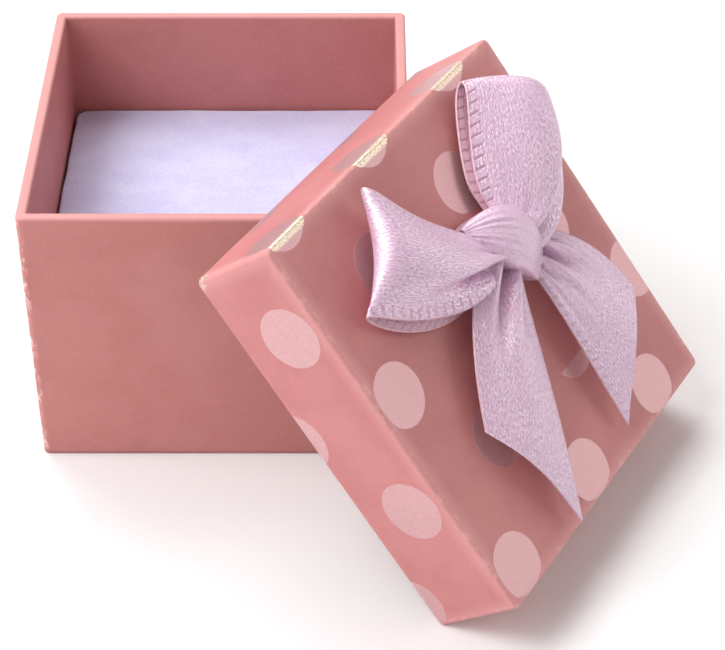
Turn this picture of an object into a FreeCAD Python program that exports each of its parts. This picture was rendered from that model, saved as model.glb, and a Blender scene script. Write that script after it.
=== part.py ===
"""Two-piece jewellery gift box: an open base with a foam insert, and a lid with a ribbon bow.

The base stands on z = 0 with its centre on the Z axis and its front face towards -Y.
The lid is off the box and leans on its front right corner: its lower rim edge stands on
the same surface, and the rim of its upper wall lies on the base's front and right rims.
All lengths are in millimetres.
"""
import FreeCAD, Part
import math
import os

from FreeCAD import Placement, Rotation, Vector

# Driving dimensions: paperboard boxes
BASE_WIDTH = 46.0  # outside of the base, the same both ways
BASE_HEIGHT = 37.0  # outside of the base, floor to rim
LID_HEIGHT = 12.5  # outside of the lid, rim to top
BOARD = 1.0  # greyboard thickness
PAPER = 0.15  # wrapping paper thickness
CORNER_RADIUS = 0.8  # outer upright edges
FOLD_RADIUS = 0.35  # outer horizontal edges and rims
STAY_LEG = 6.0  # corner stay tape, reach along each wall
STAY_THICKNESS = 0.1  # corner stay tape, pressed flush into the board

# Driving dimensions: insert
FOAM_THICKNESS = 20.8
VELVET_THICKNESS = 0.8
INSERT_RADIUS = 1.5  # upright edges of foam and velvet

# Driving dimensions: bow, lengths along and heights above the lid's top
RIBBON_WIDTH = 10.0
RIBBON_THICKNESS = 0.5
GATHER_WIDTH = 4.4  # ribbon width where it enters the knot
GATHER_LENGTH = 6.0  # distance over which it opens to its full width
KNOT_LENGTH = 8.6  # along the band that wraps the knot
KNOT_WIDTH = 8.0
KNOT_HEIGHT = 4.8
KNOT_FILLET = 1.4
KNOT_CENTRE = (-6.5, 1.5)
KNOT_ANGLE = 25.0
GLUE_RADIUS = 3.0
GLUE_THICKNESS = 0.3
LOOP_ROOT_RADIUS = 1.0  # half height of a loop at the knot
LOOP_END_RADIUS = 3.7  # half height of a loop at its far end
LOOP_ROOT_HEIGHT = 2.2  # middle of the loop above the lid, at the knot
LOOP_END_HEIGHT = 4.6  # middle of the loop above the lid, at its far end
LOOP_ROOT = 3.5  # from the knot's centre to the loop's near end
TOP_LOOP_REACH = 16.5  # from the knot's centre to the middle of the loop's far end
TOP_LOOP_ANGLE = 139.5
LEFT_LOOP_REACH = 17.0
LEFT_LOOP_ANGLE = 236.0
TAIL_HEIGHT = 1.8
TAIL_ROOT = 2.5  # from the knot's centre to where a tail starts
LEFT_TAIL_ANGLE = -37.0
LEFT_TAIL_SHIFT = 0.6  # sideways, from the knot's centre to the middle of the tail's root
LEFT_TAIL_INNER = 5.6  # sideways, from the knot's centre to the edge that faces the other tail
LEFT_TAIL_LENGTHS = (20.5, 30.5)  # from the knot's centre to the slanted cut, at the two edges
RIGHT_TAIL_ANGLE = 9.0
RIGHT_TAIL_SHIFT = 4.8
RIGHT_TAIL_INNER = -0.2
RIGHT_TAIL_LENGTHS = (27.5, 16.5)

# Clearances
LID_CLEARANCE = 0.7  # each side, between base and lid walls when the box is closed
INSERT_CLEARANCE = 0.4  # each side, between insert and base walls
RIM_GAP = 0.25  # added under the leaning rim; the rounded rim takes up more than half of it
CORNER_GAP = 1.2  # between the base's corner and the inside of the leaning lid's top
KNOT_GAP = 0.05  # between the knot and the ribbon that leaves it

# Leaning lid: its horizontal rim edge runs at this angle from +X, slid along by this much
LEAN_AZIMUTH = 59.5
LEAN_SLIDE = 1.35

# Dependent sizes
WALL = BOARD + 2 * PAPER
FLOOR = BOARD + PAPER
LID_WIDTH = BASE_WIDTH + 2 * (LID_CLEARANCE + WALL)
INSERT_WIDTH = BASE_WIDTH - 2 * (WALL + INSERT_CLEARANCE)
LID_CAVITY_DEPTH = LID_HEIGHT - FLOOR
LEAN_ANGLE = math.degrees(math.asin((BASE_HEIGHT + RIM_GAP) / (LID_WIDTH - WALL)))

SIDES = (("left", -1), ("right", 1))
ENDS = (("front", -1), ("back", 1))


def block(width, height, z0=0.0, corner_radius=0.0):
    """Square block centred on the Z axis, its four upright edges rounded."""
    shape = Part.makeBox(width, width, height, Vector(-width / 2, -width / 2, z0))
    if corner_radius > 0:
        upright = [edge for edge in shape.Edges if abs(edge.tangentAt(edge.FirstParameter).z) > 0.99]
        shape = shape.makeFillet(corner_radius, upright)
    return shape


def wrapped_envelope(width, height):
    """Outer shape of a wrapped box: rounded upright edges and softly folded horizontal ones."""
    shape = block(width, height, 0.0, CORNER_RADIUS)
    flat_faces = [face for face in shape.Faces if abs(face.normalAt(0, 0).z) > 0.99]
    return shape.makeFillet(FOLD_RADIUS, [edge for face in flat_faces for edge in face.Edges])


def corner_stays(width, height):
    """Paper tapes round the four upright corners of a board tray, by corner name."""
    outside = block(width, height, PAPER, CORNER_RADIUS - PAPER)
    inset = width - 2 * STAY_THICKNESS
    inside = block(inset, height, PAPER, CORNER_RADIUS - PAPER - STAY_THICKNESS)
    skin = outside.cut(inside)
    stays = {}
    for end, sign_y in ENDS:
        for side, sign_x in SIDES:
            middle = Vector(sign_x * width / 2, sign_y * width / 2, PAPER)
            reach = Part.makeBox(2 * STAY_LEG, 2 * STAY_LEG, height)
            reach.translate(middle - Vector(STAY_LEG, STAY_LEG, 0))
            stays[end + "_" + side] = skin.common(reach)
    return stays


def wrapped_tray(width, height):
    """Open-topped set-up box: board tray, its corner stays, and the paper that wraps both."""
    board_width = width - 2 * PAPER
    board_height = height - 2 * PAPER
    outside = block(board_width, board_height, PAPER, CORNER_RADIUS - PAPER)
    tray = outside.cut(block(board_width - 2 * BOARD, height, FLOOR))
    stays = corner_stays(board_width, board_height)
    board = tray
    for stay in stays.values():
        board = board.cut(stay)
    interior = block(width - 2 * WALL, height, FLOOR)
    wrap = wrapped_envelope(width, height).cut(tray).cut(interior)
    return board, stays, wrap


def plan(points, z0, height):
    """Upright prism over a closed outline in plan."""
    corners = [Vector(x, y, z0) for x, y in points]
    outline = Part.makePolygon(corners + corners[:1])
    return Part.Face(outline).extrude(Vector(0, 0, height))


def belt(root_radius, end_radius, root_height, end_height, root, end):
    """Face in the XZ plane, bounded by two circles' outer tangents and the arcs between them."""
    start = Vector(root, 0, root_height)
    finish = Vector(end, 0, end_height)
    along = finish - start
    lean = math.atan2(along.z, along.x)
    spread = math.acos((root_radius - end_radius) / along.Length)

    def on_circle(centre, radius, angle):
        return centre + Vector(radius * math.cos(angle), 0, radius * math.sin(angle))

    upper = lean + spread
    lower = lean - spread
    root_top = on_circle(start, root_radius, upper)
    root_low = on_circle(start, root_radius, lower)
    end_top = on_circle(finish, end_radius, upper)
    end_low = on_circle(finish, end_radius, lower)
    root_arc = Part.Arc(root_low, on_circle(start, root_radius, lean + math.pi), root_top)
    end_arc = Part.Arc(end_top, on_circle(finish, end_radius, lean), end_low)
    edges = [root_arc.toShape(), Part.makeLine(root_top, end_top), end_arc.toShape()]
    edges.append(Part.makeLine(end_low, root_low))
    return Part.Face(Part.Wire(edges))


def at_knot(shape, angle):
    """Turn a shape drawn along +X about the knot and put it on top of the lid."""
    place = Vector(KNOT_CENTRE[0], KNOT_CENTRE[1], LID_HEIGHT)
    shape.Placement = Placement(place, Rotation(Vector(0, 0, 1), angle))
    return shape


def ribbon_loop(root, end, angle):
    """Closed loop of ribbon that leaves the knot, turns over at its far end and comes back."""
    outer = belt(LOOP_ROOT_RADIUS, LOOP_END_RADIUS, LOOP_ROOT_HEIGHT, LOOP_END_HEIGHT, root, end)
    inner_root = LOOP_ROOT_RADIUS - RIBBON_THICKNESS
    inner_end = LOOP_END_RADIUS - RIBBON_THICKNESS
    inner = belt(inner_root, inner_end, LOOP_ROOT_HEIGHT, LOOP_END_HEIGHT, root, end)
    ring = outer.cut(inner).extrude(Vector(0, RIBBON_WIDTH, 0))
    ring.translate(Vector(0, -RIBBON_WIDTH / 2, 0))
    narrow = GATHER_WIDTH / 2
    wide = RIBBON_WIDTH / 2
    opened = root + GATHER_LENGTH
    far = end + 2 * LOOP_END_RADIUS
    first = root - 2 * LOOP_ROOT_RADIUS
    fan = [(first, -narrow), (opened, -wide), (far, -wide), (far, wide), (opened, wide), (first, narrow)]
    gathered = ring.common(plan(fan, 0, LOOP_END_HEIGHT + 2 * LOOP_END_RADIUS))
    return at_knot(gathered, angle)


def ribbon_tail(shift, inner_edge, outward, lengths, angle):
    """Flat end of ribbon that opens out to its full width from the knot and is cut on the slant.

    It opens outwards from the edge that faces the other tail, so a wider ribbon keeps them apart.
    """
    narrow = GATHER_WIDTH / 2
    low, high = sorted((inner_edge, inner_edge + outward * RIBBON_WIDTH))
    opened = TAIL_ROOT + GATHER_LENGTH
    outline = [
        (TAIL_ROOT, shift - narrow),
        (opened, low),
        (lengths[0], low),
        (lengths[1], high),
        (opened, high),
        (TAIL_ROOT, shift + narrow),
    ]
    return at_knot(plan(outline, TAIL_HEIGHT, RIBBON_THICKNESS), angle)


def make_bow():
    """Bow and the glue dot that holds it, on top of the lid in the lid's own frame."""
    knot_corner = Vector(-KNOT_LENGTH / 2, -KNOT_WIDTH / 2, GLUE_THICKNESS)
    knot = Part.makeBox(KNOT_LENGTH, KNOT_WIDTH, KNOT_HEIGHT, knot_corner)
    top_face = max(knot.Faces, key=lambda face: face.CenterOfMass.z)
    upright = [edge for edge in knot.Edges if abs(edge.tangentAt(0).z) > 0.99]
    knot = knot.makeFillet(KNOT_FILLET, top_face.Edges + upright)
    knot = at_knot(knot, KNOT_ANGLE)
    clear_length = KNOT_LENGTH + 2 * KNOT_GAP
    clear_width = KNOT_WIDTH + 2 * KNOT_GAP
    clear_corner = Vector(-clear_length / 2, -clear_width / 2, -KNOT_GAP)
    keep_out = at_knot(Part.makeBox(clear_length, clear_width, 2 * KNOT_HEIGHT, clear_corner), KNOT_ANGLE)
    ribbons = {
        "bow_loop_top": ribbon_loop(LOOP_ROOT, TOP_LOOP_REACH, TOP_LOOP_ANGLE),
        "bow_loop_left": ribbon_loop(LOOP_ROOT, LEFT_LOOP_REACH, LEFT_LOOP_ANGLE),
        "bow_tail_left": ribbon_tail(
            LEFT_TAIL_SHIFT, LEFT_TAIL_INNER, -1, LEFT_TAIL_LENGTHS, LEFT_TAIL_ANGLE
        ),
        "bow_tail_right": ribbon_tail(
            RIGHT_TAIL_SHIFT, RIGHT_TAIL_INNER, 1, RIGHT_TAIL_LENGTHS, RIGHT_TAIL_ANGLE
        ),
    }
    pieces = {name: ribbon.cut(keep_out) for name, ribbon in ribbons.items()}
    pieces["bow_knot"] = knot
    pieces["bow_glue_dot"] = at_knot(Part.makeCylinder(GLUE_RADIUS, GLUE_THICKNESS), 0.0)
    return pieces


def make_base():
    """Base tray, standing on z = 0 with its opening up."""
    board, stays, wrap = wrapped_tray(BASE_WIDTH, BASE_HEIGHT)
    pieces = {"base_board": board, "base_wrap": wrap}
    for corner, stay in stays.items():
        pieces["base_stay_" + corner] = stay
    return pieces


def make_insert():
    """Foam pad with its velvet face, resting on the base's board floor."""
    velvet_bottom = FLOOR + FOAM_THICKNESS
    return {
        "insert_foam": block(INSERT_WIDTH, FOAM_THICKNESS, FLOOR, INSERT_RADIUS),
        "insert_velvet": block(INSERT_WIDTH, VELVET_THICKNESS, velvet_bottom, INSERT_RADIUS),
    }


def make_lid():
    """Lid in its own frame: rim on z = 0, top at LID_HEIGHT, bow on top."""
    board, stays, wrap = wrapped_tray(LID_WIDTH, LID_HEIGHT)
    pieces = {"lid_board": board, "lid_wrap": wrap}
    for corner, stay in stays.items():
        pieces["lid_stay_" + corner] = stay
    turned_over = Placement(Vector(0, 0, LID_HEIGHT), Rotation(Vector(1, 0, 0), 180))
    for shape in pieces.values():
        shape.Placement = turned_over
    pieces.update(make_bow())
    return pieces


def leaning_place(lid_wrap):
    """Where the lid's own frame lies when the lid leans on the base's front right corner.

    The lid's +X edge is its low one. It is tipped down by LEAN_ANGLE about the lid's Y axis
    and turned so that Y runs at LEAN_AZIMUTH. The inner edge of the upper wall's rim passes
    behind the base's corner, so that the corner stands inside the lid, CORNER_GAP short of it.
    """
    turn = Rotation(Vector(0, 0, 1), LEAN_AZIMUTH - 90)
    turn = turn.multiply(Rotation(Vector(0, 1, 0), LEAN_ANGLE))
    azimuth = math.radians(LEAN_AZIMUTH)
    edge_way = Vector(math.cos(azimuth), math.sin(azimuth), 0)
    away = Vector(math.sin(azimuth), -math.cos(azimuth), 0)
    reach = (LID_CAVITY_DEPTH - CORNER_GAP) / math.sin(math.radians(LEAN_ANGLE))
    corner = Vector(BASE_WIDTH / 2, -BASE_WIDTH / 2, 0)
    rim_line = corner - away * reach + edge_way * LEAN_SLIDE
    rim_inside = turn.multVec(Vector(-LID_WIDTH / 2 + WALL, 0, 0))
    place = Placement(Vector(rim_line.x - rim_inside.x, rim_line.y - rim_inside.y, 0), turn)
    trial = lid_wrap.copy()
    trial.Placement = place.multiply(trial.Placement)
    return Placement(place.Base - Vector(0, 0, trial.optimalBoundingBox(False).ZMin), turn)


def build():
    """All pieces of the part, by node name, at rest."""
    lid = make_lid()
    place = leaning_place(lid["lid_wrap"])
    for shape in lid.values():
        shape.Placement = place.multiply(shape.Placement)
    pieces = make_base()
    pieces.update(make_insert())
    pieces.update(lid)
    return pieces, place


os.makedirs("parts", exist_ok=True)
all_pieces, lid_place = build()
for node, shape in all_pieces.items():
    shape.exportStep(os.path.join("parts", node + ".step"))
    print(node, shape.isValid(), len(shape.Solids), round(shape.Volume, 3))
print("lid lean", round(LEAN_ANGLE, 3), "origin", [round(value, 4) for value in lid_place.Base])
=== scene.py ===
"""Paper-covered jewellery gift box: open base with a velvet pad, spotted lid with a satin bow."""
import math

import bpy
import numpy as np
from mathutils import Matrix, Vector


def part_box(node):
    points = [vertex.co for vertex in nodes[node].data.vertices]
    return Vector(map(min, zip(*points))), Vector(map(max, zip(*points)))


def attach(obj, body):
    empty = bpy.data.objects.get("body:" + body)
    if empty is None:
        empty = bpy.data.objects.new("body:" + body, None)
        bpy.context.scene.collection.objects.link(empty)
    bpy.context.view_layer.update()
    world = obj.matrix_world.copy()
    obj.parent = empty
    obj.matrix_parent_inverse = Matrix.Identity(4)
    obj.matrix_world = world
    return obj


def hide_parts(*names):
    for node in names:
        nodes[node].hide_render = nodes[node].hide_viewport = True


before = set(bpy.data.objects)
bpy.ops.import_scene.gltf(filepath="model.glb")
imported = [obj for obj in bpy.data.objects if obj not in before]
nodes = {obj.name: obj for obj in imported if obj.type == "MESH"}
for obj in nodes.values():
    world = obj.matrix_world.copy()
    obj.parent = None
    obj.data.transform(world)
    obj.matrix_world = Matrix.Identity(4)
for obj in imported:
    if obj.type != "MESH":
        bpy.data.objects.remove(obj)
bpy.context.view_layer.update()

MM = 0.001


def box_of(name):
    """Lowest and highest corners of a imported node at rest, in millimetres."""
    low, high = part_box(name)
    return np.array(low) / MM, np.array(high) / MM


BASE_LOW, BASE_HIGH = box_of("base_wrap")
FOAM_LOW, FOAM_HIGH = box_of("insert_foam")
VELVET_LOW, VELVET_HIGH = box_of("insert_velvet")
LID_LOW, LID_HIGH = box_of("lid_wrap")
BASE_WIDTH, BASE_HEIGHT = BASE_HIGH[0] - BASE_LOW[0], BASE_HIGH[2]
INSERT_WIDTH = FOAM_HIGH[0] - FOAM_LOW[0]

# Sizes that the leaning lid's box doesn't show, in millimetres and degrees
LID_WIDTH, LID_HEIGHT = 50.0, 12.5
WALL, FLOOR, PAPER = 1.3, 1.15, 0.15
FACE_INSETS = (14.0, 8.0, 4.0, 2.0, 1.0)  # rings of a tray skin that lie in its closed face
RIM_GAP = 0.25  # added under the leaning rim
LEAN = math.asin((BASE_HEIGHT + RIM_GAP) / (LID_WIDTH - WALL))
LID_TURN = math.radians(-30.5)
SHEET_UNIT = 100.0  # millimetres of flat paper to one unit of its UV map


def lid_axes():
    """Rows are the lid's own X, Y and Z in the row frame: tipped about Y by LEAN, then turned."""
    tip_c, tip_s = math.cos(LEAN), math.sin(LEAN)
    turn_c, turn_s = math.cos(LID_TURN), math.sin(LID_TURN)
    tip = np.array([[tip_c, 0, tip_s], [0, 1, 0], [-tip_s, 0, tip_c]])
    turn = np.array([[turn_c, -turn_s, 0], [turn_s, turn_c, 0], [0, 0, 1]])
    return (turn @ tip).T


LID_AXES = lid_axes()
# The lid's box is centred on the lid's own middle, which is half its height above its rim
LID_ORIGIN = (LID_LOW + LID_HIGH) / 2 - LID_AXES[2] * LID_HEIGHT / 2


def on_lid(points):
    """Points in the lid's own frame, z up from its rim, put where the lid leans."""
    return points @ LID_AXES + LID_ORIGIN


# ---------------------------------------------------------------- mesh from arrays

def inside_out(points, quads):
    """True if the signed volume, the sum of each triangle's triple product, is negative."""
    a, b, c, d = (points[quads[:, k]] for k in range(4))
    return np.einsum("ij,ij->", a, np.cross(b, c)) + np.einsum("ij,ij->", a, np.cross(c, d)) < 0


def mesh_object(name, points, faces, body, uv, attributes=None):
    """A mesh from an (n, 3) array in millimetres and an (m, 4) array of corners.

    An inside-out surface has its faces turned over. uv is an (m, 4, 2) array, attributes are
    (n,) arrays by name.
    """
    if inside_out(points, faces):
        faces, uv = faces[:, ::-1], uv[:, ::-1]
    mesh = bpy.data.meshes.new(name)
    mesh.vertices.add(len(points))
    mesh.vertices.foreach_set("co", (points * MM).astype(np.float32).ravel())
    mesh.loops.add(faces.size)
    mesh.loops.foreach_set("vertex_index", faces.astype(np.int32).ravel())
    mesh.polygons.add(len(faces))
    mesh.polygons.foreach_set("loop_start", np.arange(0, faces.size, 4, dtype=np.int32))
    mesh.polygons.foreach_set("use_smooth", np.full(len(faces), True))
    mesh.update(calc_edges=True)
    layer = mesh.uv_layers.new(name="UVMap")
    layer.data.foreach_set("uv", uv.astype(np.float32).ravel())
    for key, values in (attributes or {}).items():
        attribute = mesh.attributes.new(key, "FLOAT", "POINT")
        attribute.data.foreach_set("value", values.astype(np.float32).ravel())
    mesh.validate()
    obj = bpy.data.objects.new(name, mesh)
    bpy.context.scene.collection.objects.link(obj)
    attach(obj, body)
    return obj


def grid_faces(rows, columns, around=False):
    """Corners of the quads between neighbouring points of a grid.

    With around, the last column is joined to the first.
    """
    index = np.arange(rows * columns).reshape(rows, columns)
    if around:
        index = np.concatenate([index, index[:, :1]], axis=1)
    quads = (index[:-1, :-1], index[1:, :-1], index[1:, 1:], index[:-1, 1:])
    return np.stack(quads, axis=-1).reshape(-1, 4)


def slit_cap(row):
    """Quads that close the end of a flattened tube, joining each corner to the one across the slit."""
    half = len(row) // 2
    front, back = row[:half], row[half:][::-1]
    return np.stack([front[:-1], front[1:], back[1:], back[:-1]], axis=-1)


def flat_tube_faces(rows, columns):
    """Quads of a flattened tube: its sides, and a cap at each end."""
    index = np.arange(rows * columns).reshape(rows, columns)
    sides = grid_faces(rows, columns, around=True)
    return np.concatenate([sides, slit_cap(index[0])[:, ::-1], slit_cap(index[-1])])


def closed_object(name, rings, body, replaced, material, uv=None):
    """A closed surface from an (n, m, 3) grid of rings, with a many-sided face over each end ring."""
    rows, columns = rings.shape[:2]
    points = rings.reshape(-1, 3)
    quads = grid_faces(rows, columns, around=True)
    ends = [np.arange(columns), np.arange((rows - 1) * columns, rows * columns)[::-1]]
    flat = np.full((quads.size + 2 * columns, 2), 0.5)
    if uv is not None:
        flat[: quads.size] = uv.reshape(-1, 2)
    if inside_out(points, quads):
        quads, ends = quads[:, ::-1], [end[::-1] for end in ends]
        flat[: quads.size] = flat[: quads.size].reshape(-1, 4, 2)[:, ::-1].reshape(-1, 2)
    mesh = bpy.data.meshes.new(name)
    mesh.from_pydata((points * MM).tolist(), [], quads.tolist() + [end.tolist() for end in ends])
    if uv is not None:
        layer = mesh.uv_layers.new(name="UVMap")
        layer.data.foreach_set("uv", flat.astype(np.float32).ravel())
    mesh.update(calc_edges=True)
    mesh.polygons.foreach_set("use_smooth", np.full(len(mesh.polygons), True))
    obj = bpy.data.objects.new(name, mesh)
    bpy.context.scene.collection.objects.link(obj)
    obj.data.materials.append(material)
    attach(obj, body)
    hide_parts(replaced)
    return obj


def smooth_step(value, low, high):
    """0 below low, 1 above high, and a cubic ease between them."""
    t = np.clip((value - low) / (high - low), 0, 1)
    return t * t * (3 - 2 * t)


# ---------------------------------------------------------------- paper skins of the two trays

def perimeter(side_steps, corner_steps):
    """Stations round a rounded square, as (side, share along the straight, angle round the corner).

    Each side is a straight from -1 to 1, closer together towards its ends, then a quarter turn.
    """
    share = np.sin(np.linspace(-math.pi / 2, math.pi / 2, side_steps + 1))
    turn = np.linspace(0, math.pi / 2, corner_steps + 1)[1:-1]
    along = np.concatenate([share, np.ones(len(turn))])
    angle = np.concatenate([np.zeros(len(share)), turn])
    side = np.repeat(np.arange(4), len(along))
    return side, np.tile(along, 4), np.tile(angle, 4)


def ring_points(half, radius, along, angle, side):
    """Points of rounded squares: half-widths and corner radii down the rows, stations along the columns.

    On side 0, facing -Y, the straight runs along X at y = -half; the corner is an arc of the
    given radius about the straight's end. The other sides are that one turned by quarter turns.
    """
    straight = half - radius
    x = along * straight + radius * np.sin(angle)
    y = -straight - radius * np.cos(angle)
    c, s = np.cos(side * math.pi / 2), np.sin(side * math.pi / 2)
    return x * c - y * s, x * s + y * c


def tray_profile(height, fold, wall, paper, floor):
    """Section through a wrapped wall, from the closed face round the rim and back inside the paper.

    Columns are inset from the outside, height above the closed face, and distance along the
    paper from the fold. Arcs of the given radius join the straight runs.
    """
    steps = np.linspace(0, math.pi / 2, 7)
    fold_arc = np.stack([fold - fold * np.sin(steps), fold - fold * np.cos(steps)], axis=1)
    up = np.linspace(fold, height - fold, 17)[1:-1]
    outer = np.stack([np.zeros_like(up), up], axis=1)
    rim_out = np.stack([fold - fold * np.cos(steps), height - fold + fold * np.sin(steps)], axis=1)
    rim_in = np.stack([wall - fold + fold * np.sin(steps), height - fold + fold * np.cos(steps)], axis=1)
    down = np.linspace(height - fold, floor + 0.02, 15)[1:]
    inner = np.stack([np.full_like(down, wall), down], axis=1)
    hidden = np.array([
        [wall - paper, floor + 0.02],
        [wall - paper, height - paper],
        [paper, height - paper],
        [paper, paper],
    ])
    face = np.array([[inset, 0.0] for inset in FACE_INSETS])
    shown = np.concatenate([face, fold_arc, outer, rim_out, rim_in, inner])
    run = np.concatenate([[0], np.cumsum(np.hypot(*np.diff(shown, axis=0).T))])
    run -= run[len(face)]
    section = np.concatenate([shown, hidden])
    return section[:, 0], section[:, 1], np.concatenate([run, run[-1] + 1 + np.arange(4)])


def tray_skin(width, height, fold, corner, bow):
    """The paper skin of a tray, closed face down: the profile carried round a rounded square.

    Each point moves outwards by bow times the product of two humps, one along the side and one
    up the wall, and by slow waves, so that no wall is dead flat.
    """
    inset, level, run = tray_profile(height, fold, WALL, PAPER, FLOOR)
    side, along, angle = perimeter(26, 7)
    rows, columns = len(inset), len(side)
    half = (width / 2 - inset)[:, None]
    radius = np.clip(corner - inset, 0.12, None)[:, None]
    radius = np.minimum(radius, half * 0.9)
    x, y = ring_points(half, radius, along, angle, side)
    z = np.repeat(level[:, None], columns, axis=1)
    hump = (1 - along ** 2) * np.sin(np.clip(level / height, 0, 1) * math.pi)[:, None] ** 0.7
    wave = 0.35 * np.sin(along * 4.1 + side * 1.7) * np.sin(level / height * 5.0 + 0.6)[:, None]
    on_outside = ((inset < fold + 0.01) & (np.arange(rows) < rows - 4))[:, None]
    push = np.where(on_outside, bow * hump * (1 + wave), 0)
    out_x, out_y = np.sin(side * math.pi / 2), -np.cos(side * math.pi / 2)
    rings = np.stack([x + push * out_x, y + push * out_y, z], axis=-1)
    return rings, flat_sheet(rows, columns, width, half, radius, run, side, along, angle)


def flat_sheet(rows, columns, width, half, radius, run, side, along, angle):
    """UV corners of a tray skin's quads: the paper laid flat, its middle at one half.

    A wall carries on outwards from its edge of the face by its distance along the paper. The
    last quad of each corner ends on its own side's sheet, so that no quad spans two sheets.
    """
    flat_along = along * (half - radius) + radius * (angle - math.pi / 4 * (angle > 0))
    in_face = (np.arange(rows) < len(FACE_INSETS))[:, None]
    flat_out = np.where(in_face, -half, -(width / 2) - run[:, None] + 0 * along)
    faces = grid_faces(rows, columns, around=True)
    row, column = faces // columns, faces % columns
    own_side = np.repeat(side[column[:, :1]], 4, axis=1)
    column = np.where(side[column] != own_side, column[:, :1], column)
    u, v = flat_along[row, column], flat_out[row, column]
    c, s = np.cos(own_side * math.pi / 2), np.sin(own_side * math.pi / 2)
    return np.stack([u * c - v * s, u * s + v * c], axis=-1) / SHEET_UNIT + 0.5


# ---------------------------------------------------------------- materials

def tree_of(name):
    """A new material, its node tree and its shader."""
    material = bpy.data.materials.new(name)
    material.use_nodes = True
    tree = material.node_tree
    return material, tree, tree.nodes["Principled BSDF"]


def node(tree, kind, inputs=None, **settings):
    """Adds a node, sets its settings, and fills its inputs with values or other nodes' outputs."""
    made = tree.nodes.new("ShaderNode" + kind)
    for key, value in settings.items():
        setattr(made, key, value)
    for key, value in (inputs or {}).items():
        if isinstance(value, bpy.types.NodeSocket):
            tree.links.new(value, made.inputs[key])
        else:
            made.inputs[key].default_value = value
    return made


def maths(tree, operation, *values, clamp=False):
    """One arithmetic step on numbers or sockets."""
    return node(tree, "Math", dict(enumerate(values)), operation=operation, use_clamp=clamp).outputs[0]


def ramp(tree, value, low, high, to_low=0.0, to_high=1.0):
    """Maps low..high to to_low..to_high with a smooth ease, held beyond the ends."""
    inputs = {"Value": value, "From Min": low, "From Max": high, "To Min": to_low, "To Max": to_high}
    return node(tree, "MapRange", inputs, interpolation_type="SMOOTHSTEP").outputs[0]


def mix(tree, share, first, second):
    """Colour between first and second."""
    made = node(tree, "Mix", data_type="RGBA")
    for socket, value in ((made.inputs[0], share), (made.inputs[6], first), (made.inputs[7], second)):
        if isinstance(value, bpy.types.NodeSocket):
            tree.links.new(value, socket)
        else:
            socket.default_value = value
    return made.outputs[2]


def noise(tree, vector, scale, detail=3.0, roughness=0.55):
    """Value of a noise pattern, about 0.3 to 0.7."""
    inputs = {"Vector": vector, "Scale": scale, "Detail": detail, "Roughness": roughness}
    return node(tree, "TexNoise", inputs).outputs[0]


def stretched(tree, vector, scale, location=(0, 0, 0)):
    """The pattern's coordinates, scaled by different amounts along the axes."""
    return node(tree, "Mapping", {"Vector": vector, "Scale": scale, "Location": location}).outputs[0]


def bump(tree, height, strength, distance, normal=None):
    """A bump of that height pattern; distance is in metres."""
    inputs = {"Height": height, "Strength": strength, "Distance": distance}
    if normal is not None:
        inputs["Normal"] = normal
    return node(tree, "Bump", inputs).outputs[0]


def colour(r, g, b):
    """Linear colour from 8-bit display values."""
    display = np.array([r, g, b]) / 255
    linear = np.where(display <= 0.04045, display / 12.92, ((display + 0.055) / 1.055) ** 2.4)
    return (*linear.tolist(), 1.0)


def paper_ground(tree, base, deep, light):
    """Coated paper: slow mottling between two tones, fine fibre flecks, and its bump."""
    place = node(tree, "TexCoord").outputs["Object"]
    slow = noise(tree, place, 110.0, 3.0)
    fine = noise(tree, place, 2600.0, 3.0, 0.7)
    tone = mix(tree, ramp(tree, slow, 0.35, 0.65), base, deep)
    flecks = ramp(tree, fine, 0.52, 0.74, 0.0, 0.35)
    tone = mix(tree, flecks, tone, light)
    height = maths(tree, "ADD", maths(tree, "MULTIPLY", fine, 0.5), maths(tree, "MULTIPLY", slow, 1.5))
    return place, tone, fine, slow, height


def worn_edges(tree, place, tone, pale, across_x, across_y, half):
    """Pale rubbed specks along the upright folds, where both plan distances are near the half width.

    The distance from the fold is the longer of the two gaps to the half width, and a noise cuts
    the rubbed line into specks.
    """
    sides = [maths(tree, "ABSOLUTE", part) for part in (across_x, across_y)]
    gaps = [maths(tree, "SUBTRACT", half, side) for side in sides]
    fold = maths(tree, "MAXIMUM", *gaps)
    long_specks = noise(tree, stretched(tree, place, (1, 1, 0.5)), 900.0, 4.0, 0.75)
    specks = ramp(tree, long_specks, 0.5, 0.6)
    rubbed = maths(tree, "MULTIPLY", ramp(tree, fold, 1.0, 0.3), specks)
    return mix(tree, maths(tree, "MULTIPLY", rubbed, 0.75), tone, pale)


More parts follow.
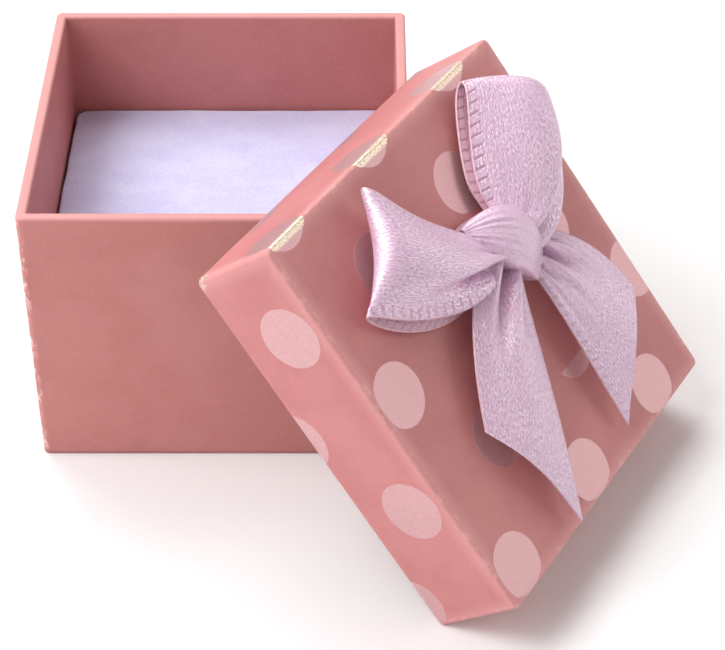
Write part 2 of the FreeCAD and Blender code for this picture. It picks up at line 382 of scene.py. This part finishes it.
def base_paper():
    """Plain salmon paper, matt, rubbed pale at its upright folds, lighter round its rim with rubbed wear
    and a painted highlight, and with painted shade along its foot.
    """
    material, tree, shader = tree_of("salmon_paper")
    place, tone, fine, slow, height = paper_ground(
        tree, colour(199, 131, 127), colour(193, 124, 120), colour(222, 163, 158)
    )
    parts = node(tree, "SeparateXYZ", {0: place}).outputs
    x, y, z = (maths(tree, "DIVIDE", part, MM) for part in parts[:3])
    pale = colour(244, 214, 206)
    tone = worn_edges(tree, place, tone, pale, x, y, float(BASE_WIDTH / 2))
    # Lighter band round the rim top: partly rubbed wear, partly a painted highlight where the up-facing rim
    # catches the light.
    waver = maths(tree, "MULTIPLY_ADD", slow, 0.5, -0.25)
    top = float(BASE_HEIGHT)
    rim = ramp(tree, maths(tree, "ADD", z, waver), top - 0.5, top - 0.1)
    tone = mix(tree, maths(tree, "MULTIPLY", rim, 0.4), tone, colour(238, 180, 178))
    # Painted shade: darker towards the bottom, where the box meets the floor.
    foot = ramp(tree, z, 0.7, 0.1)
    tone = mix(tree, maths(tree, "MULTIPLY", foot, 0.45), tone, colour(120, 62, 60))
    tree.links.new(tone, shader.inputs["Base Color"])
    tree.links.new(ramp(tree, fine, 0.3, 0.7, 0.52, 0.68), shader.inputs["Roughness"])
    tree.links.new(bump(tree, height, 0.35, 0.0001), shader.inputs["Normal"])
    shader.inputs["Specular IOR Level"].default_value = 0.35
    return material


SPOT_RADIUS = 3.85
SPOT_STEP_X, SPOT_STEP_Y = 24.2, 18.1  # between spots of one row, and between rows two apart
FIRST_SPOT, STAGGERED_SPOT = (-2.7, -2.9), (9.4, 6.1)  # a spot of each set of rows, on the flat paper


def spot_distance(tree, x, y, spot):
    """Distance in millimetres to the nearest spot of the lattice through the given one."""
    half_x, half_y = SPOT_STEP_X / 2, SPOT_STEP_Y / 2
    dx = maths(tree, "WRAP", maths(tree, "SUBTRACT", x, spot[0]), -half_x, half_x)
    dy = maths(tree, "WRAP", maths(tree, "SUBTRACT", y, spot[1]), -half_y, half_y)
    squares = maths(tree, "ADD", maths(tree, "MULTIPLY", dx, dx), maths(tree, "MULTIPLY", dy, dy))
    return maths(tree, "SQRT", squares)


def lid_paper():
    """Rose paper printed with round foil spots in staggered rows that carry on over the folds."""
    material, tree, shader = tree_of("spotted_paper")
    place, tone, fine, _, height = paper_ground(
        tree, colour(204, 131, 130), colour(197, 122, 122), colour(220, 154, 150)
    )
    flat = node(tree, "UVMap", uv_map="UVMap").outputs[0]
    parts = node(tree, "SeparateXYZ", {0: flat})
    x = maths(tree, "MULTIPLY_ADD", parts.outputs[0], SHEET_UNIT, -SHEET_UNIT / 2)
    y = maths(tree, "MULTIPLY_ADD", parts.outputs[1], -SHEET_UNIT, SHEET_UNIT / 2)
    distances = [spot_distance(tree, x, y, centre) for centre in (FIRST_SPOT, STAGGERED_SPOT)]
    near = maths(tree, "MINIMUM", *distances)
    spot = ramp(tree, near, SPOT_RADIUS + 0.06, SPOT_RADIUS - 0.06)
    speck = noise(tree, place, 3200.0, 3.0, 0.7)
    foil = mix(tree, ramp(tree, speck, 0.3, 0.72), colour(206, 161, 164), colour(221, 174, 174))
    half = LID_WIDTH / 2
    uphill_fold = maths(tree, "ABSOLUTE", maths(tree, "ADD", x, half))
    worn = ramp(tree, uphill_fold, 1.1, 0.5)
    cracks = ramp(tree, noise(tree, stretched(tree, flat, (160, 60, 1)), 4.0, 4.0, 0.8), 0.52, 0.6)
    foil = mix(tree, worn, foil, mix(tree, cracks, colour(255, 236, 212), colour(150, 112, 84)))
    past = [maths(tree, "SUBTRACT", maths(tree, "ABSOLUTE", part), half) for part in (x, y)]
    folds = maths(tree, "MINIMUM", *[maths(tree, "ABSOLUTE", gap) for gap in past])
    specks = ramp(tree, noise(tree, place, 700.0, 4.0, 0.75), 0.5, 0.62)
    rubbed = maths(tree, "MULTIPLY", ramp(tree, folds, 0.7, 0.2), specks)
    # Painted highlight: a soft lighter band within about 2 mm of each fold, standing in for light caught on
    # the rounded folds.
    tone = mix(tree, ramp(tree, folds, 2.4, 0.2, 0.0, 0.4), tone, colour(234, 172, 170))
    tone = mix(tree, maths(tree, "MULTIPLY", rubbed, 0.35), tone, colour(240, 196, 190))
    tone = mix(tree, spot, tone, foil)
    tree.links.new(tone, shader.inputs["Base Color"])
    tree.links.new(maths(tree, "MULTIPLY", spot, 0.55), shader.inputs["Metallic"])
    grain = ramp(tree, fine, 0.3, 0.7, 0.42, 0.56)
    shine = ramp(tree, speck, 0.3, 0.7, 0.3, 0.45)
    rough = node(tree, "Mix", {0: spot, 2: grain, 3: shine}, data_type="FLOAT").outputs[0]
    tree.links.new(rough, shader.inputs["Roughness"])
    raised = maths(tree, "ADD", height, maths(tree, "MULTIPLY", spot, 0.6))
    tree.links.new(bump(tree, raised, 0.35, 0.0001), shader.inputs["Normal"])
    shader.inputs["Specular IOR Level"].default_value = 0.45
    return material


def board_material():
    """Grey-brown pressed board with long fibres and dark flecks."""
    material, tree, shader = tree_of("greyboard")
    place = node(tree, "TexCoord").outputs["Object"]
    fibres = noise(tree, stretched(tree, place, (1, 6, 6)), 420.0, 5.0, 0.7)
    flecks = ramp(tree, noise(tree, place, 1400.0, 2.0), 0.66, 0.74)
    tone = mix(tree, ramp(tree, fibres, 0.3, 0.7), colour(170, 158, 142), colour(206, 197, 182))
    tree.links.new(mix(tree, flecks, tone, colour(96, 84, 72)), shader.inputs["Base Color"])
    tree.links.new(ramp(tree, fibres, 0.3, 0.7, 0.8, 0.95), shader.inputs["Roughness"])
    tree.links.new(bump(tree, fibres, 0.5, 0.0002), shader.inputs["Normal"])
    return material


def tape_material():
    """Brown gummed paper tape with faint ribs."""
    material, tree, shader = tree_of("stay_paper")
    place = node(tree, "TexCoord").outputs["Object"]
    ribs = noise(tree, stretched(tree, place, (1, 1, 9)), 700.0, 3.0)
    tone = mix(tree, ramp(tree, ribs, 0.35, 0.65), colour(176, 138, 96), colour(196, 160, 118))
    tree.links.new(tone, shader.inputs["Base Color"])
    tree.links.new(ramp(tree, ribs, 0.3, 0.7, 0.6, 0.75), shader.inputs["Roughness"])
    tree.links.new(bump(tree, ribs, 0.4, 0.0001), shader.inputs["Normal"])
    return material


def glue_material():
    """Clear yellowish hot-melt glue with a rippled skin."""
    material, tree, shader = tree_of("hot_glue")
    place = node(tree, "TexCoord").outputs["Object"]
    ripple = noise(tree, place, 500.0, 2.0)
    tone = mix(tree, ramp(tree, ripple, 0.35, 0.65), colour(232, 222, 190), colour(242, 236, 212))
    tree.links.new(tone, shader.inputs["Base Color"])
    tree.links.new(ramp(tree, ripple, 0.3, 0.7, 0.2, 0.35), shader.inputs["Roughness"])
    tree.links.new(bump(tree, ripple, 0.5, 0.0003), shader.inputs["Normal"])
    return material


def foam_material():
    """Open-cell foam: small round pores with painted shade inside them."""
    material, tree, shader = tree_of("foam")
    place = node(tree, "TexCoord").outputs["Object"]
    cells = node(tree, "TexVoronoi", {"Vector": place, "Scale": 1500.0}).outputs[0]
    pores = ramp(tree, cells, 0.15, 0.5)
    # Painted shade: the pore centres are darker.
    tone = mix(tree, pores, colour(168, 164, 186), colour(226, 224, 236))
    tree.links.new(tone, shader.inputs["Base Color"])
    shader.inputs["Roughness"].default_value = 0.95
    tree.links.new(bump(tree, pores, 0.8, 0.0004), shader.inputs["Normal"])
    return material


def velvet_material():
    """Short lavender pile: soft tufts, brushed patches, and a sheen at grazing angles."""
    material, tree, shader = tree_of("velvet")
    place = node(tree, "TexCoord").outputs["Object"]
    tufts = noise(tree, place, 3200.0, 4.0, 0.75)
    brushed = noise(tree, stretched(tree, place, (1, 1.7, 1)), 160.0, 4.0)
    tone = mix(tree, ramp(tree, brushed, 0.35, 0.65), colour(216, 217, 255), colour(206, 206, 250))
    tone = mix(tree, ramp(tree, tufts, 0.35, 0.7, 0.0, 0.5), tone, colour(240, 236, 250))
    tree.links.new(tone, shader.inputs["Base Color"])
    shader.inputs["Roughness"].default_value = 0.95
    shader.inputs["Sheen Weight"].default_value = 0.5
    shader.inputs["Sheen Roughness"].default_value = 0.4
    pile = maths(tree, "ADD", tufts, maths(tree, "MULTIPLY", brushed, 1.5))
    tree.links.new(bump(tree, pile, 0.7, 0.0003), shader.inputs["Normal"])
    return material


def satin_material():
    """Satin ribbon: short warp floats in fine lines with painted glints, a duller reverse with painted warm
    bounce light from the paper, and stitched selvages.

    The UV map is the ribbon laid flat, along it in U and across it in V, both in ribbon widths.
    """
    material, tree, shader = tree_of("satin")
    flat = node(tree, "UVMap", uv_map="UVMap").outputs[0]
    parts = node(tree, "SeparateXYZ", {0: flat})
    along, across = parts.outputs[0], parts.outputs[1]
    reverse = node(tree, "Attribute", attribute_name="reverse").outputs["Fac"]
    stitching = node(tree, "Attribute", attribute_name="stitching").outputs["Fac"]
    drift = noise(tree, stretched(tree, flat, (2.0, 4.0, 1)), 1.0, 2.0)
    line_place = maths(tree, "MULTIPLY_ADD", drift, 9.0, maths(tree, "MULTIPLY", across, 190.0))
    lines = maths(tree, "MULTIPLY_ADD", maths(tree, "SINE", line_place), 0.5, 0.5)
    floats = noise(tree, stretched(tree, flat, (22.0, 88.0, 1)), 1.0, 2.0, 0.6)
    slow = noise(tree, stretched(tree, flat, (1.3, 3.0, 1)), 1.0, 2.0)
    edge = maths(tree, "ABSOLUTE", maths(tree, "SUBTRACT", across, 0.5))
    selvage = ramp(tree, edge, 0.39, 0.41)
    rim = ramp(tree, edge, 0.478, 0.495)
    stitch_run = maths(tree, "MULTIPLY_ADD", edge, 5.0, maths(tree, "MULTIPLY", along, 7.6))
    stitch = ramp(tree, maths(tree, "PINGPONG", stitch_run, 0.5), 0.3, 0.44)
    band = maths(tree, "MULTIPLY", selvage, maths(tree, "SUBTRACT", 1.0, rim))
    stitches = maths(tree, "MULTIPLY", maths(tree, "MULTIPLY", stitch, band), stitching)
    # The floats vary in tone with the weave; their near-white light colour is a painted glint.
    tone = mix(tree, ramp(tree, floats, 0.4, 0.62), colour(206, 160, 190), colour(255, 230, 250))
    tone = mix(tree, maths(tree, "MULTIPLY", lines, 0.22), tone, colour(244, 220, 240))
    tone = mix(tree, ramp(tree, slow, 0.35, 0.7, 0.0, 0.3), tone, colour(214, 176, 204))
    # The reverse is duller, as satin's matte back is, and pinker as a painted warm bounce light from the
    # paper.
    tone = mix(tree, maths(tree, "MULTIPLY", reverse, 0.75), tone, colour(224, 172, 190))
    tone = mix(tree, maths(tree, "MULTIPLY", stitches, 0.8), tone, colour(186, 134, 154))
    tone = mix(tree, maths(tree, "MULTIPLY", rim, 0.6), tone, colour(236, 186, 190))
    tree.links.new(tone, shader.inputs["Base Color"])
    glint = ramp(tree, floats, 0.35, 0.65, 0.44, 0.16)
    dull = maths(tree, "MULTIPLY_ADD", reverse, 0.25, glint)
    tree.links.new(dull, shader.inputs["Roughness"])
    shader.inputs["Sheen Weight"].default_value = 0.3
    shader.inputs["Sheen Roughness"].default_value = 0.3
    shader.inputs["Sheen Tint"].default_value = (1.0, 0.86, 0.94, 1.0)
    shader.inputs["Specular IOR Level"].default_value = 1.0
    shader.inputs["Metallic"].default_value = 0.2
    shader.inputs["Coat Weight"].default_value = 0.35
    shader.inputs["Coat Roughness"].default_value = 0.3
    weave = maths(tree, "MULTIPLY_ADD", floats, 1.5, maths(tree, "MULTIPLY", lines, 0.2))
    weave = maths(tree, "MULTIPLY_ADD", stitches, -0.9, weave)
    tree.links.new(bump(tree, weave, 0.6, 0.0001), shader.inputs["Normal"])
    return material


def floor_material():
    """Plain pale backdrop."""
    material, tree, shader = tree_of("pale_floor")
    cloud = noise(tree, node(tree, "TexCoord").outputs["Object"], 3.0)
    tone = mix(tree, ramp(tree, cloud, 0.3, 0.7), colour(243, 243, 243), colour(248, 248, 248))
    tree.links.new(tone, shader.inputs["Base Color"])
    shader.inputs["Roughness"].default_value = 0.9
    return material


# ---------------------------------------------------------------- ribbon

RIBBON_WIDTH = 10.0
RIBBON_THICKNESS = 0.16
LOWEST = 0.45  # the least height of a ribbon's middle above the lid
STEPS_ACROSS = 61
KNOT_STEPS = 61  # along the knot's band
FOLD_RUN = 1.7  # how a loop's run out and back slows at its fold
DROOP_REACH = 0.1  # share of the width over which a selvage droops


def course(values, share):
    """Smooth course from the first value to the last, drawn towards those between.

    It is a Bezier curve: each value weighted by its Bernstein polynomial of the share. Values
    may be numbers or (x, y) pairs.
    """
    last = len(values) - 1
    share = np.asarray(share, float)
    total = 0
    for k, value in enumerate(values):
        weight = math.comb(last, k) * share ** k * (1 - share) ** (last - k)
        total = total + (weight[..., None] * np.array(value) if np.ndim(value) else weight * value)
    return total


def strip_plan(path, width, place, across):
    """Plan of a strip: its middle line, and from it half the width to the left and to the right.

    Across goes from 0 on the left, looking along the path, to 1 on the right.
    """
    ahead = course(path, place + 0.001) - course(path, place - 0.001)
    left = np.stack([-ahead[..., 1], ahead[..., 0]], axis=-1)
    left = left / np.linalg.norm(left, axis=-1, keepdims=True)
    return course(path, place) + left * ((0.5 - across) * course(width, place))[..., None]


def section_height(left, right, arch, peak, place, across):
    """Height of a ribbon: a straight line from selvage to selvage, and an arch over it.

    The arch is a half sine of the share across raised to the power peak, so that above 1 its
    top lies nearer to the right selvage.
    """
    left, right = course(left, place), course(right, place)
    return left + (right - left) * across + course(arch, place) * np.sin(math.pi * across ** peak)


def tail_surface(path, width, ends, left, right, arch, peak, steps_along):
    """A tail: a strip whose two selvages stop at different shares of the path, for its slanted cut."""
    across = np.linspace(0, 1, STEPS_ACROSS)
    place = np.linspace(0, 1, steps_along)[:, None] * course(ends, across)
    plan = strip_plan(path, width, place, across)
    height = section_height(left, right, arch, peak, place, across)
    return np.concatenate([plan, height[..., None]], axis=-1)


def loop_surface(path, width, ends, left, right, arch, peak, low, spread, droop, tightness, steps_along):
    """A loop: the strip goes out over its arch, turns over at its end and comes back low.

    The place along the path is one less a power of the distance from the fold, and the height
    goes from the arch to the low layer as a hyperbolic tangent of it. The low layer is moved
    to the left by its spread, so that its selvage shows beside the upper one. Both layers'
    left selvages droop by a bell curve of the distance from them.
    """
    from_fold = 1 - 2 * np.linspace(0, 1, steps_along)[:, None]
    across = np.linspace(0, 1, STEPS_ACROSS)
    place = (1 - np.abs(from_fold) ** FOLD_RUN) * course(ends, across)
    under = 0.5 - 0.5 * np.tanh(tightness * from_fold)
    upper = strip_plan(path, width, place, across)
    lower = strip_plan(path, width, place, across - course(spread, place) / course(width, place))
    plan = upper + (lower - upper) * under[..., None]
    height = section_height(left, right, arch, peak, place, across)
    height = height + (course(low, place) - height) * under
    height = height - droop * np.exp(-(across / DROOP_REACH) ** 2)
    return np.concatenate([plan, height[..., None]], axis=-1)


def surface_normals(points):
    """Unit normals of a grid, the cross product of its two directions of change."""
    along, across = np.gradient(points, axis=0), np.gradient(points, axis=1)
    normal = np.cross(along, across)
    return normal / np.maximum(np.linalg.norm(normal, axis=-1, keepdims=True), 1e-9)


def run_along(surface):
    """Distance along a surface from its start, at each of its points."""
    steps = np.linalg.norm(np.diff(surface, axis=0), axis=-1)
    return np.concatenate([np.zeros((1, STEPS_ACROSS)), np.cumsum(steps, axis=0)])


def laid_flat(run, across):
    """The two sides of a ribbon laid flat, in ribbon widths, in the order of a flattened tube's points."""
    flat = np.stack([run / RIBBON_WIDTH, np.broadcast_to(across, run.shape)], axis=-1)
    return np.concatenate([flat, flat[:, ::-1]], axis=1).reshape(-1, 2)


def satin_object(name, tube, flat, material, node_name, attributes=None):
    """A flattened tube of ribbon, drawn in heights above the lid's top, put on the lid."""
    faces = flat_tube_faces(*tube.shape[:2])
    points = tube.reshape(-1, 3) + np.array([0, 0, LID_HEIGHT])
    obj = mesh_object(name, on_lid(points), faces, "lid", flat[faces], attributes)
    obj.data.materials.append(material)
    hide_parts(node_name)
    return obj


def pleat_depth(run, share, pleats):
    """How far pleats lower the ribbon, in millimetres, at each distance along and share across.

    A pleat is a groove with a raised lip each side: a bell curve about a line that goes from
    one share to another, less about a third of that for two bells beside it, all fading with
    distance. Each is (share at the start, share at the reach, depth, half width, reach).
    """
    total = np.zeros(np.broadcast(run, share).shape)
    for start, finish, depth, half_width, reach in pleats:
        centre = start + (finish - start) * np.clip(run / reach, 0, 1.3)
        off = (share - centre) / half_width
        lips = np.exp(-(off - 1.9) ** 2) + np.exp(-(off + 1.9) ** 2)
        total += depth * (np.exp(-off ** 2) - 0.35 * lips) * np.exp(-(run / reach) ** 2)
    return total


def ribbon(name, middle, node_name, material, gathers, pleats, stitching, seed):
    """A length of satin ribbon: a surface with gathers and pleats, given its thickness.

    A gather is a ripple across the ribbon, a sum of two sines of the share across it, that dies
    away with distance from an end that enters the knot. The selvages are half as thick again.
    """
    share = np.linspace(0, 1, STEPS_ACROSS)
    run = run_along(middle)
    mid_run = run[:, STEPS_ACROSS // 2]
    length = mid_run[-1]
    normal = surface_normals(middle)
    first_quarter = normal[: len(middle) // 4]
    up = 1 if first_quarter[..., 2].mean() > 0 else -1
    middle = middle - normal * up * pleat_depth(mid_run[:, None], share, pleats)[..., None]
    for size, reach, from_end in gathers:
        distance = (length - mid_run) if from_end else mid_run
        fade = np.exp(-(distance / reach) ** 1.5)
        ripple = np.sin(share * 31 + seed) + 0.6 * np.sin(share * 57 + 2 * seed + 1)
        middle = middle + normal * (size * fade[:, None] * ripple)[..., None]
    middle[..., 2] = np.maximum(middle[..., 2], LOWEST)
    normal = surface_normals(middle)
    thick = RIBBON_THICKNESS / 2 * (1 + 0.5 * smooth_step(np.abs(share - 0.5), 0.39, 0.42))
    outer = middle + normal * (up * thick[:, None])
    inner = middle - normal * (up * thick[:, None])
    tube = np.concatenate([outer, inner[:, ::-1]], axis=1)
    sewn = np.where(share < 0.5, stitching[0], stitching[1])
    values = {
        "reverse": np.tile(np.repeat([0.0, 1.0], STEPS_ACROSS), len(tube)),
        "stitching": np.tile(np.concatenate([sewn, sewn[::-1]]), len(tube)),
    }
    obj = satin_object(name, tube, laid_flat(run, share), material, node_name, values)


def knot(name, path, width, edge, arch, material):
    """The band round the bow's middle: an arched strip over the top, closed underneath.

    The arch across is a half sine to a low power, so the band is flat on top with steep sides.
    Its ripples run along the band, and fade towards the two ends.
    """
    share = np.linspace(0, 1, STEPS_ACROSS)
    length_share = np.linspace(0, 1, KNOT_STEPS)
    place = np.repeat(length_share[:, None], STEPS_ACROSS, axis=1)
    height = course(edge, place) + course(arch, place) * np.sin(math.pi * share) ** 0.45
    top = np.concatenate([strip_plan(path, width, place, share), height[..., None]], axis=-1)
    normal = surface_normals(top)
    normal = np.where((normal[..., 2:] < 0).mean() > 0.5, -normal, normal)
    ripple = np.abs(np.sin(share * 17 + 1.6 * place)) + 0.4 * np.sin(share * 47 + 1.3)
    fade = np.sin(math.pi * np.clip(length_share * 0.94 + 0.03, 0, 1)) ** 0.5
    top = top + normal * (0.13 * fade[:, None] * ripple)[..., None]
    under = top.copy()[:, ::-1]
    under[..., 2] = 0.35 + 0.15 * under[..., 2]
    under[..., :2] += 0.15 * (under[..., :2].mean(axis=1, keepdims=True) - under[..., :2])
    tube = np.concatenate([top, under], axis=1)
    between_selvages = 0.12 + 0.76 * share
    flat = laid_flat(run_along(top), between_selvages)
    obj = satin_object(name, tube, flat, material, "bow_knot")


# ---------------------------------------------------------------- insert

def pad(name, width, low, high, corner, round_edge, material, node_name, seed, swell):
    """A soft square pad as one closed surface: rings that shrink over a rounded edge.

    The section is a bottom, an upright side and a quarter-round top edge. The top swells by a
    few tenths, and the outline wavers by the sum of three sines round the rim.
    """
    side, along, angle = perimeter(30, 9)
    turn = np.linspace(0, math.pi / 2, 9)
    inner = np.array([2.0, 4.0, 7.0, 11.0, 15.0, 18.0, 20.0])
    edge_inset = round_edge - round_edge * np.cos(turn)
    edge = np.stack([edge_inset, high - round_edge + round_edge * np.sin(turn)], axis=1)
    bottom = np.array([[20.0, low], [12.0, low], [4.0, low], [0.2, low], [0.0, low + 0.2]])
    top = np.stack([inner, np.full_like(inner, high)], axis=1)
    section = np.concatenate([bottom, edge, top])
    inset, level = section[:, :1], section[:, 1:]
    half = width / 2 - inset
    radius = np.minimum(np.clip(corner - inset * 0.5, 0.3, None), half * 0.9)
    x, y = ring_points(half, radius, along, angle, side)
    around = side + (along + 1) / 2
    waver = 0.05 * np.sin(around * 9 + seed) + 0.04 * np.sin(around * 23 + 2 * seed)
    waver = waver + 0.03 * np.sin(around * 41)
    shrink = 1 + waver / (width / 2) * (level > low + 0.1)
    on_top = level > high - round_edge * 0.5
    lift = swell * (1 - (x / width * 2) ** 4) * (1 - (y / width * 2) ** 4) * on_top
    lift = lift + 0.04 * np.sin(x * 0.45 + seed) * np.sin(y * 0.38 + 1) * (level > high - 0.01)
    points = np.stack([x * shrink, y * shrink, level + lift], axis=-1)
    obj = closed_object(name, points, "insert", node_name, material)


# ---------------------------------------------------------------- the pieces

def turned_over(points):
    """The lid's skin is drawn closed face down, so it is turned over about X, then leaned."""
    return on_lid(points * np.array([1, -1, -1]) + np.array([0, 0, LID_HEIGHT]))


def dress_cad_nodes():
    """Gives every CAD node that stays its own finish."""
    board, tape, glue = board_material(), tape_material(), glue_material()
    for name, obj in nodes.items():
        finish = glue if name == "bow_glue_dot" else tape if "stay" in name else board
        obj.data.materials.clear()
        obj.data.materials.append(finish)


def build_pieces():
    """Every piece that replaces a packed one."""
    rings, sheet = tray_skin(BASE_WIDTH, BASE_HEIGHT, fold=0.35, corner=0.8, bow=0.12)
    closed_object("base_skin", rings, "base", "base_wrap", base_paper(), uv=sheet)
    rings, sheet = tray_skin(LID_WIDTH, LID_HEIGHT, fold=0.4, corner=0.8, bow=0.2)
    closed_object("lid_skin", turned_over(rings), "lid", "lid_wrap", lid_paper(), uv=sheet)
    velvet = velvet_material()
    pad(
        "insert_pad", INSERT_WIDTH, low=FOAM_LOW[2], high=FOAM_HIGH[2] - 0.05, corner=1.5, round_edge=0.5,
        material=foam_material(), node_name="insert_foam", seed=0.4, swell=0.0,
    )
    pad(
        "velvet_face", INSERT_WIDTH + 0.2, low=VELVET_LOW[2], high=VELVET_HIGH[2] - 0.15, corner=1.6,
        round_edge=0.45, material=velvet, node_name="insert_velvet", seed=1.9, swell=0.35,
    )
    build_bow(satin_material())


def build_bow(satin):
    """Two loops, two tails and the knot, in the lid's plan and in heights above its top, in millimetres."""
    top = loop_surface(
        path=[(-5.6, 6.9), (-8.0, 12.8), (-14.6, 14.6), (-20.8, 18.5)],
        width=[6.4, 16.0, 11.2, 10.6],
        ends=[1.0, 1.04, 0.98],
        left=[2.6, 1.7, 1.4, 3.8],
        right=[2.6, 3.0, 5.4, 6.6],
        arch=[0.8, 4.4, 5.2, 1.6],
        peak=1.5,
        low=[1.8, 1.3, 1.3, 1.5],
        spread=[0.3, 1.3, 1.5, 0.2],
        droop=0.5,
        tightness=5.0,
        steps_along=240,
    )
    ribbon(
        "loop_top", top, "bow_loop_top", satin, gathers=[(0.07, 5.0, False), (0.08, 4.0, True)],
        pleats=[(0.74, 0.88, 1.1, 0.08, 10.0)], stitching=(1.0, 0.2), seed=0.3,
    )
    left = loop_surface(
        path=[(-6.5, -0.5), (-9.0, -5.0), (-10.4, -11.8), (-19.9, -16.5)],
        width=[4.5, 10.0, 11.8, 14.6],
        ends=[0.85, 0.88, 0.85, 1.0],
        left=[3.0, 3.4, 2.0, 3.2],
        right=[3.2, 3.6, 4.2, 3.6],
        arch=[1.0, 3.2, 3.8, 1.6],
        peak=1.0,
        low=[1.4, 1.0, 1.1, 1.5],
        spread=[0.3, 1.6, 1.2, 0.2],
        droop=0.4,
        tightness=6.0,
        steps_along=260,
    )
    ribbon(
        "loop_left", left, "bow_loop_left", satin, gathers=[(0.07, 4.0, False), (0.08, 4.0, True)],
        pleats=[(0.28, 0.2, 3.6, 0.1, 8.0)], stitching=(0.6, 0.15), seed=1.1,
    )
    tail = tail_surface(
        path=[(-5.2, 2.5), (-1.0, -5.5), (8.0, -8.9), (21.6, -15.4)],
        width=[6.0, 10.6, 12.0, 11.4],
        ends=(1.0, 0.68),
        left=[2.6, 3.6, 3.4, 1.7],
        right=[2.6, 3.0, 1.4, 0.8],
        arch=[0.2, 1.8, 2.6, 0.5],
        peak=1.0,
        steps_along=150,
    )
    ribbon(
        "tail_left", tail, "bow_tail_left", satin, gathers=[(0.06, 5.0, False)],
        pleats=[(0.4, 0.62, 2.4, 0.1, 10.0)], stitching=(0.2, 0.2), seed=2.0,
    )
    tail = tail_surface(
        path=[(-2.5, 8.6), (5.0, 12.0), (13.0, 11.4), (21.8, 11.2)],
        width=[6.0, 12.6, 13.0, 10.6],
        ends=(0.52, 1.0),
        left=[3.2, 5.2, 4.4, 3.2],
        right=[2.2, 2.8, 2.6, 1.3],
        arch=[0.0, 0.8, 1.0, 0.2],
        peak=1.0,
        steps_along=150,
    )
    ribbon(
        "tail_right", tail, "bow_tail_right", satin, gathers=[(0.2, 5.0, False)],
        pleats=[(0.5, 0.38, 1.5, 0.09, 5.0), (0.75, 0.7, 0.7, 0.06, 4.5)], stitching=(0.15, 0.45), seed=0.8,
    )
    knot(
        "knot_band",
        path=[(-10.8, -0.8), (-8.5, 3.0), (-6.0, 5.0), (-1.8, 7.8)],
        width=[1.0, 9.0, 8.0, 6.0],
        edge=[2.4, 4.6, 4.6, 2.6],
        arch=[0.3, 2.2, 2.4, 0.5],
        material=satin,
    )


# ---------------------------------------------------------------- floor, light, camera

def area_light(name, place, target, size, power, tint=(1, 1, 1)):
    """A square soft light at a place, turned to face a target, in metres and watts."""
    light = bpy.data.lights.new(name, "AREA")
    light.shape = "SQUARE"
    light.size = size
    light.energy = power
    light.color = tint
    obj = bpy.data.objects.new(name, light)
    bpy.context.scene.collection.objects.link(obj)
    away = np.array(target) - np.array(place)
    obj.location = place
    flat = math.hypot(away[0], away[1])
    obj.rotation_euler = (math.atan2(flat, -away[2]), 0, math.atan2(away[1], away[0]) - math.pi / 2)


def build_stage():
    """A wide pale floor, five soft lights, an even pale sky, and the camera."""
    reach = 1500 * MM
    corners = [(-reach, -reach, 0), (reach, -reach, 0), (reach, reach, 0), (-reach, reach, 0)]
    mesh = bpy.data.meshes.new("floor")
    mesh.from_pydata(corners, [], [(0, 1, 2, 3)])
    floor = bpy.data.objects.new("floor", mesh)
    bpy.context.scene.collection.objects.link(floor)
    floor.data.materials.append(floor_material())
    aim = (0.01, -0.01, 0.02)
    area_light("window", (-0.32, -0.12, 0.46), aim, 0.34, 2.4, (0.98, 0.98, 1.0))
    area_light("overhead", (-0.12, 0.28, 0.5), aim, 0.4, 2.1)
    area_light("right_card", (0.6, 0.14, 0.2), aim, 0.5, 0.9)
    area_light("left_strip", (-0.45, -0.3, 0.2), aim, 0.16, 0.4, (1.0, 0.97, 1.0))
    area_light("front_fill", (0.1, -0.55, 0.3), aim, 0.5, 0.25)
    world = bpy.data.worlds.new("sky")
    world.use_nodes = True
    background = world.node_tree.nodes["Background"]
    background.inputs["Color"].default_value = (1.0, 0.95, 0.92, 1)
    background.inputs["Strength"].default_value = 0.32
    bpy.context.scene.world = world
    bpy.context.scene.view_settings.view_transform = "Standard"

    camera = bpy.data.objects.new("camera", bpy.data.cameras.new("camera"))
    bpy.context.scene.collection.objects.link(camera)
    camera.data.sensor_width = 36.0
    camera.data.lens = 106.96
    camera.data.clip_start = 0.01
    camera.location = (0.0174, -0.2237, 0.1858)
    camera.rotation_euler = (math.radians(50.63), 0, 0)
    bpy.context.scene.camera = camera


dress_cad_nodes()
build_pieces()
build_stage()

bpy.context.view_layer.update()
